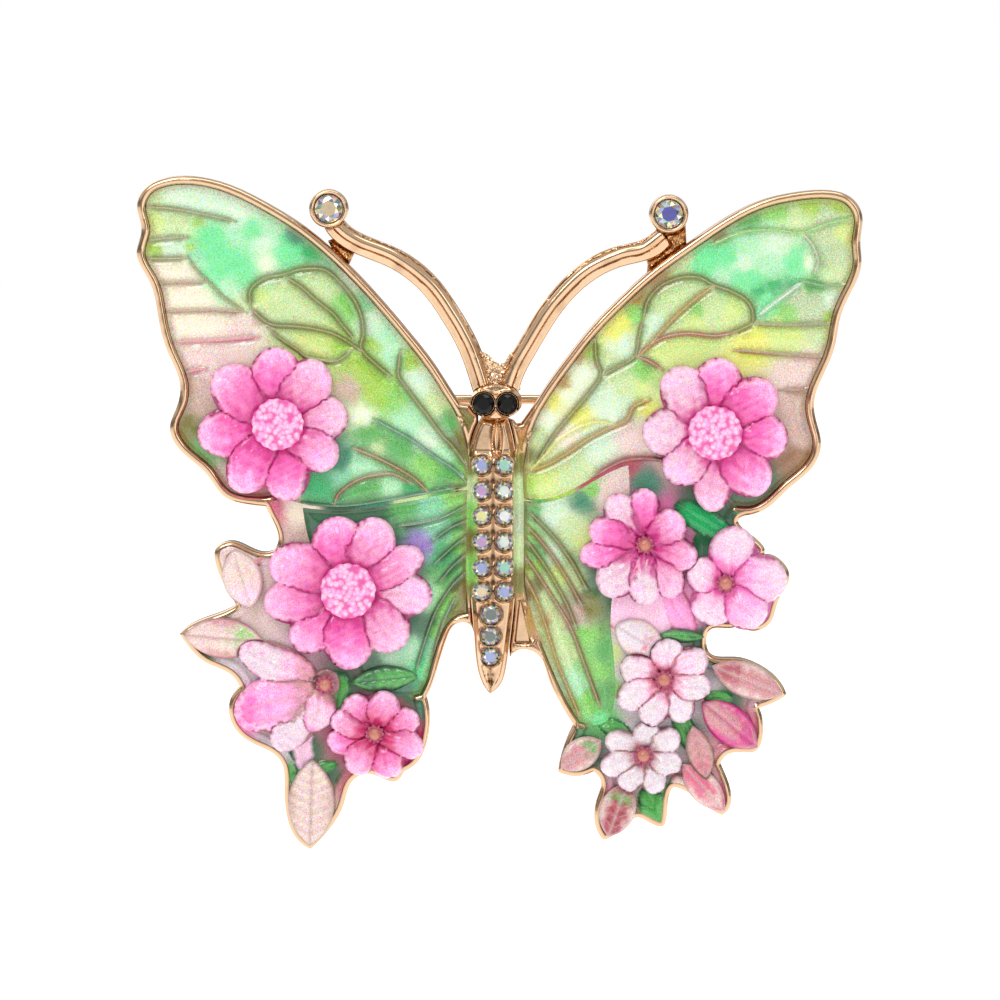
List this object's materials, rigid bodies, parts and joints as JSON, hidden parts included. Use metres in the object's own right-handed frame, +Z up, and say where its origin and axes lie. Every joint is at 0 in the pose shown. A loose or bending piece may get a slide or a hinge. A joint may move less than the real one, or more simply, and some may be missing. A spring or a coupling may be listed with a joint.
{
  "type": "brooch",
  "caption": "Butterfly brooch: enamelled gilt casting with faceted stones, bonded flowers and a hinged pin with a safety catch behind.",
  "frame": {"origin": "middle of the pin stem, on its axis", "axes": "+Z up as worn, -Y out of the enamelled face, +X along the pin stem from its hinge to its tip"},
  "size_m": [0.0603, 0.0097, 0.0561],
  "materials": {
    "gilt_casting": "polished pale rose-gold plating",
    "gilt_finding": "bright plated",
    "pin_wire": "drawn and plated wire",
    "wing_enamel": "printed colour under a clear glossy fill",
    "jet_crystal": "faceted black glass",
    "iridescent_crystal": "faceted, foiled back, iridescent coating",
    "flower_disc": "granular relief under clear gloss",
    "copper_bead": "glossy copper pink",
    "pink_petal": "printed colour under clear gloss",
    "pale_petal": "printed colour under clear gloss",
    "green_leaf": "printed colour under clear gloss",
    "rose_leaf": "printed colour under clear gloss"
  },
  "bodies": {
    "brooch": {"abdomen_stone_1": "iridescent_crystal", "abdomen_stone_2": "iridescent_crystal", "abdomen_stone_3": "iridescent_crystal", "cast_frame": "gilt_casting", "catch_housing": "gilt_finding", "left_antenna_stone": "iridescent_crystal", "left_eye": "jet_crystal", "left_forewing_enamel": "wing_enamel", "left_green_leaf": "green_leaf", "left_hindwing_enamel": "wing_enamel", "left_lily_bead": "copper_bead", "left_lily_flower": "pale_petal", "left_lower_daisy": "pink_petal", "left_lower_disc": "flower_disc", "left_pale_leaf": "rose_leaf", "left_side_leaf": "rose_leaf", "left_small_bead": "copper_bead", "left_small_flower": "pink_petal", "left_tail_leaf": "rose_leaf", "left_upper_daisy": "pink_petal", "left_upper_disc": "flower_disc", "pin_joint_bracket": "gilt_finding", "pin_rivet": "pin_wire", "right_antenna_stone": "iridescent_crystal", "right_double_bead": "copper_bead", "right_double_flower": "pink_petal", "right_eye": "jet_crystal", "right_forewing_enamel": "wing_enamel", "right_hindwing_enamel": "wing_enamel", "right_inner_leaf": "rose_leaf", "right_lower_bud": "rose_leaf", "right_mauve_leaf": "rose_leaf", "right_middle_bud": "rose_leaf", "right_pale_bead": "copper_bead", "right_pale_flower": "pale_petal", "right_small_bead": "copper_bead", "right_small_bud": "rose_leaf", "right_small_flower": "pale_petal", "right_stem_leaf": "green_leaf", "right_tail_leaf": "rose_leaf", "right_upper_bud": "rose_leaf", "right_upper_daisy": "pink_petal", "right_upper_disc": "flower_disc", "right_white_bead": "copper_bead", "right_white_flower": "pale_petal", "thorax_stone_left_1": "iridescent_crystal", "thorax_stone_left_2": "iridescent_crystal", "thorax_stone_left_3": "iridescent_crystal", "thorax_stone_left_4": "iridescent_crystal", "thorax_stone_left_5": "iridescent_crystal", "thorax_stone_left_6": "iridescent_crystal", "thorax_stone_right_1": "iridescent_crystal", "thorax_stone_right_2": "iridescent_crystal", "thorax_stone_right_3": "iridescent_crystal", "thorax_stone_right_4": "iridescent_crystal", "thorax_stone_right_5": "iridescent_crystal", "thorax_stone_right_6": "iridescent_crystal"},
    "pin": {"pin_stem": "pin_wire"},
    "roller": {"catch_roller": "gilt_finding"}
  },
  "joints": [
    {"name": "pin_swing", "type": "hinge", "parent": "brooch", "child": "pin", "pos_m": [-0.013, 0, 0], "axis": [0, 0, 1], "range_deg": [0, 115]},
    {"name": "catch_turn", "type": "hinge", "parent": "brooch", "child": "roller", "pos_m": [0.0125, 0, 0], "axis": [1, 0, 0], "range_deg": [0, 100]}
  ]
}
